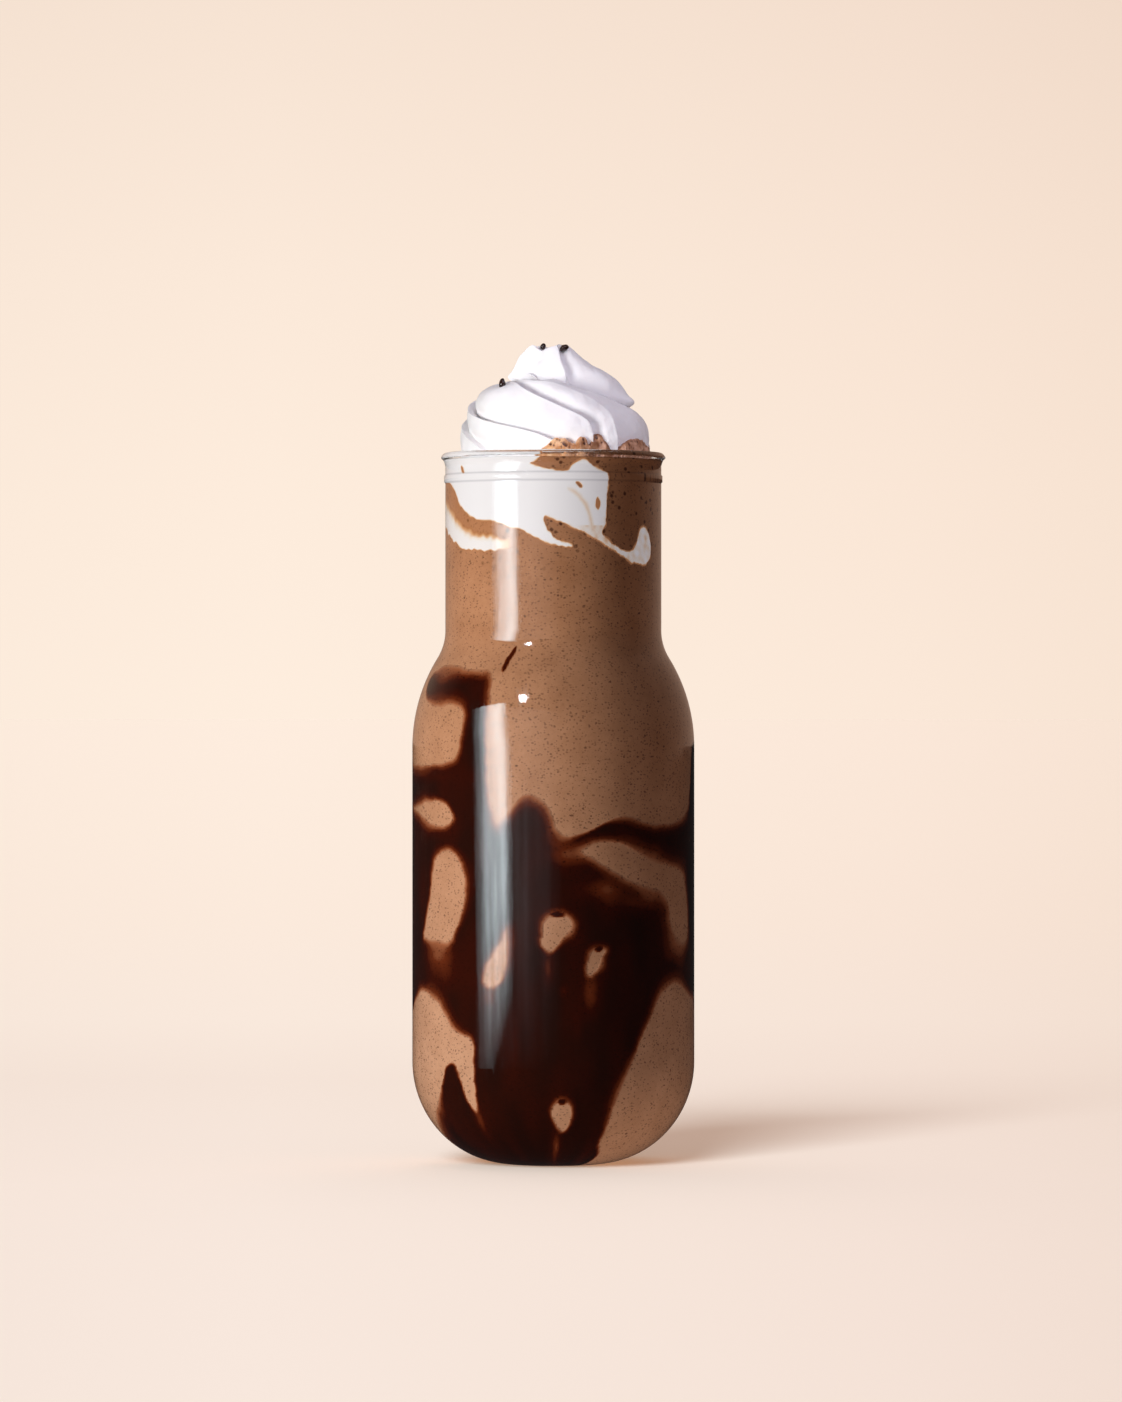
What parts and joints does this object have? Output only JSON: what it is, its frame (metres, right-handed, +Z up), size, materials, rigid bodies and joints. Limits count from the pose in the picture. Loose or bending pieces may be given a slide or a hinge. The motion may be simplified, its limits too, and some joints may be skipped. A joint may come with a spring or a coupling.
{
  "type": "milkshake in a glass bottle",
  "caption": "Chocolate milkshake in a wide-mouthed clear glass bottle, with chocolate syrup run down the inside and a piped swirl of whipped cream on top.",
  "frame": {"origin": "middle of the bottle's flat foot, on the surface that it stands on", "axes": "+Z up along the bottle's axis, -Y towards the front that is shown, +X to the right seen from the front"},
  "size_m": [0.0736, 0.0736, 0.2138],
  "materials": {
    "glass": "clear, polished",
    "shake": "smooth, wet, with fine dark specks and small bubbles",
    "cream": "soft, fine-grained, slightly satin",
    "syrup": "glossy, translucent at its thin edges"
  },
  "bodies": {
    "root": {"glass_bottle": "glass", "milkshake": "shake", "whipped_cream": "cream", "chocolate_syrup": "syrup"}
  },
  "joints": []
}
